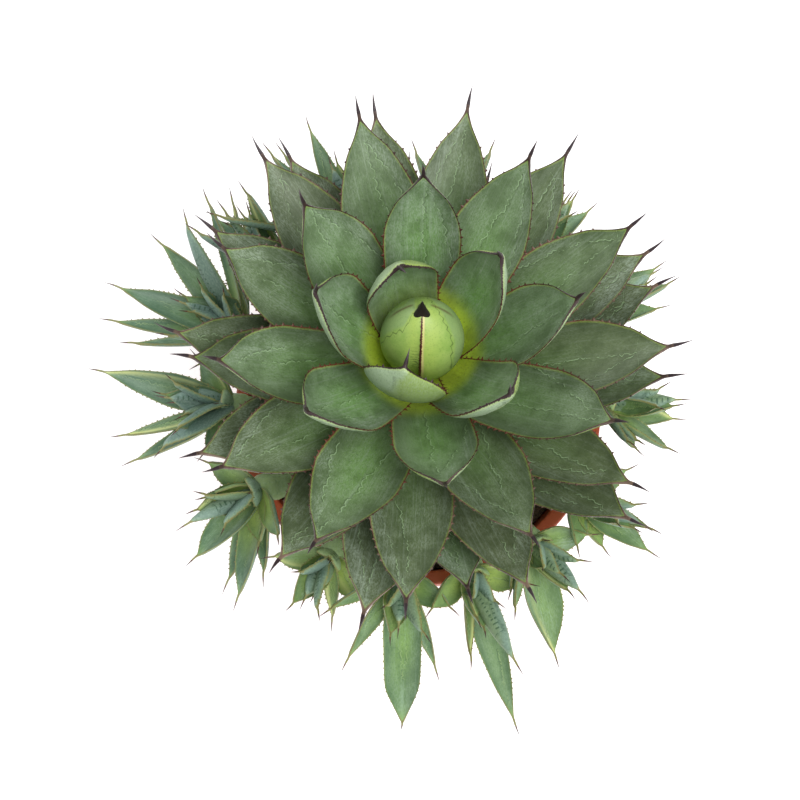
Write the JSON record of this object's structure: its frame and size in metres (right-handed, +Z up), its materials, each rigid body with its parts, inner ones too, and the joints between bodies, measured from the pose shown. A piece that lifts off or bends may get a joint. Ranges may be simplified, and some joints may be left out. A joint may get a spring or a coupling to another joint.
{
  "type": "potted agave",
  "caption": "Broad-leaved toothed agave rosette around a closed bud, ringed by offsets, standing in a plain round flower pot.",
  "frame": {"origin": "centre of the flat underside of the pot, on the surface it stands on", "axes": "+Z up along the axis of the pot and the main stem; -Y faces the viewer of the picture's lower edge"},
  "size_m": [0.247, 0.259, 0.2414],
  "materials": {
    "pot_plastic": "satin",
    "potting_mix": "matte",
    "stem_skin": "matte",
    "bud_skin": "satin",
    "leaf_skin": "satin",
    "young_leaf_skin": "satin"
  },
  "bodies": {
    "root": {"pot": "pot_plastic", "soil": "potting_mix", "stem": "stem_skin", "central_bud": "bud_skin", "leaf_01": "leaf_skin", "leaf_02": "leaf_skin", "leaf_03": "leaf_skin", "leaf_04": "leaf_skin", "leaf_05": "leaf_skin", "leaf_06": "leaf_skin", "leaf_07": "leaf_skin", "leaf_08": "leaf_skin", "leaf_09": "leaf_skin", "leaf_10": "leaf_skin", "leaf_11": "leaf_skin", "leaf_12": "leaf_skin", "leaf_13": "leaf_skin", "leaf_14": "leaf_skin", "leaf_15": "leaf_skin", "leaf_16": "leaf_skin", "leaf_17": "leaf_skin", "leaf_18": "leaf_skin", "leaf_19": "leaf_skin", "leaf_20": "leaf_skin", "leaf_21": "leaf_skin", "leaf_22": "leaf_skin", "leaf_23": "leaf_skin", "leaf_24": "leaf_skin", "leaf_25": "leaf_skin", "leaf_26": "leaf_skin", "leaf_27": "leaf_skin", "leaf_28": "leaf_skin", "leaf_29": "leaf_skin", "leaf_30": "leaf_skin", "leaf_31": "leaf_skin", "leaf_32": "leaf_skin", "leaf_33": "leaf_skin", "leaf_34": "leaf_skin", "leaf_35": "leaf_skin", "leaf_36": "leaf_skin", "leaf_37": "leaf_skin", "leaf_38": "leaf_skin", "leaf_39": "leaf_skin", "leaf_40": "leaf_skin", "leaf_41": "leaf_skin", "leaf_42": "leaf_skin", "offset_01": "young_leaf_skin", "offset_02": "young_leaf_skin", "offset_03": "young_leaf_skin", "offset_04": "young_leaf_skin", "offset_05": "young_leaf_skin", "offset_06": "young_leaf_skin", "offset_07": "young_leaf_skin", "offset_08": "young_leaf_skin", "offset_09": "young_leaf_skin", "offset_10": "young_leaf_skin", "offset_11": "young_leaf_skin", "offset_12": "young_leaf_skin", "offset_13": "young_leaf_skin", "offset_14": "young_leaf_skin"}
  },
  "joints": []
}
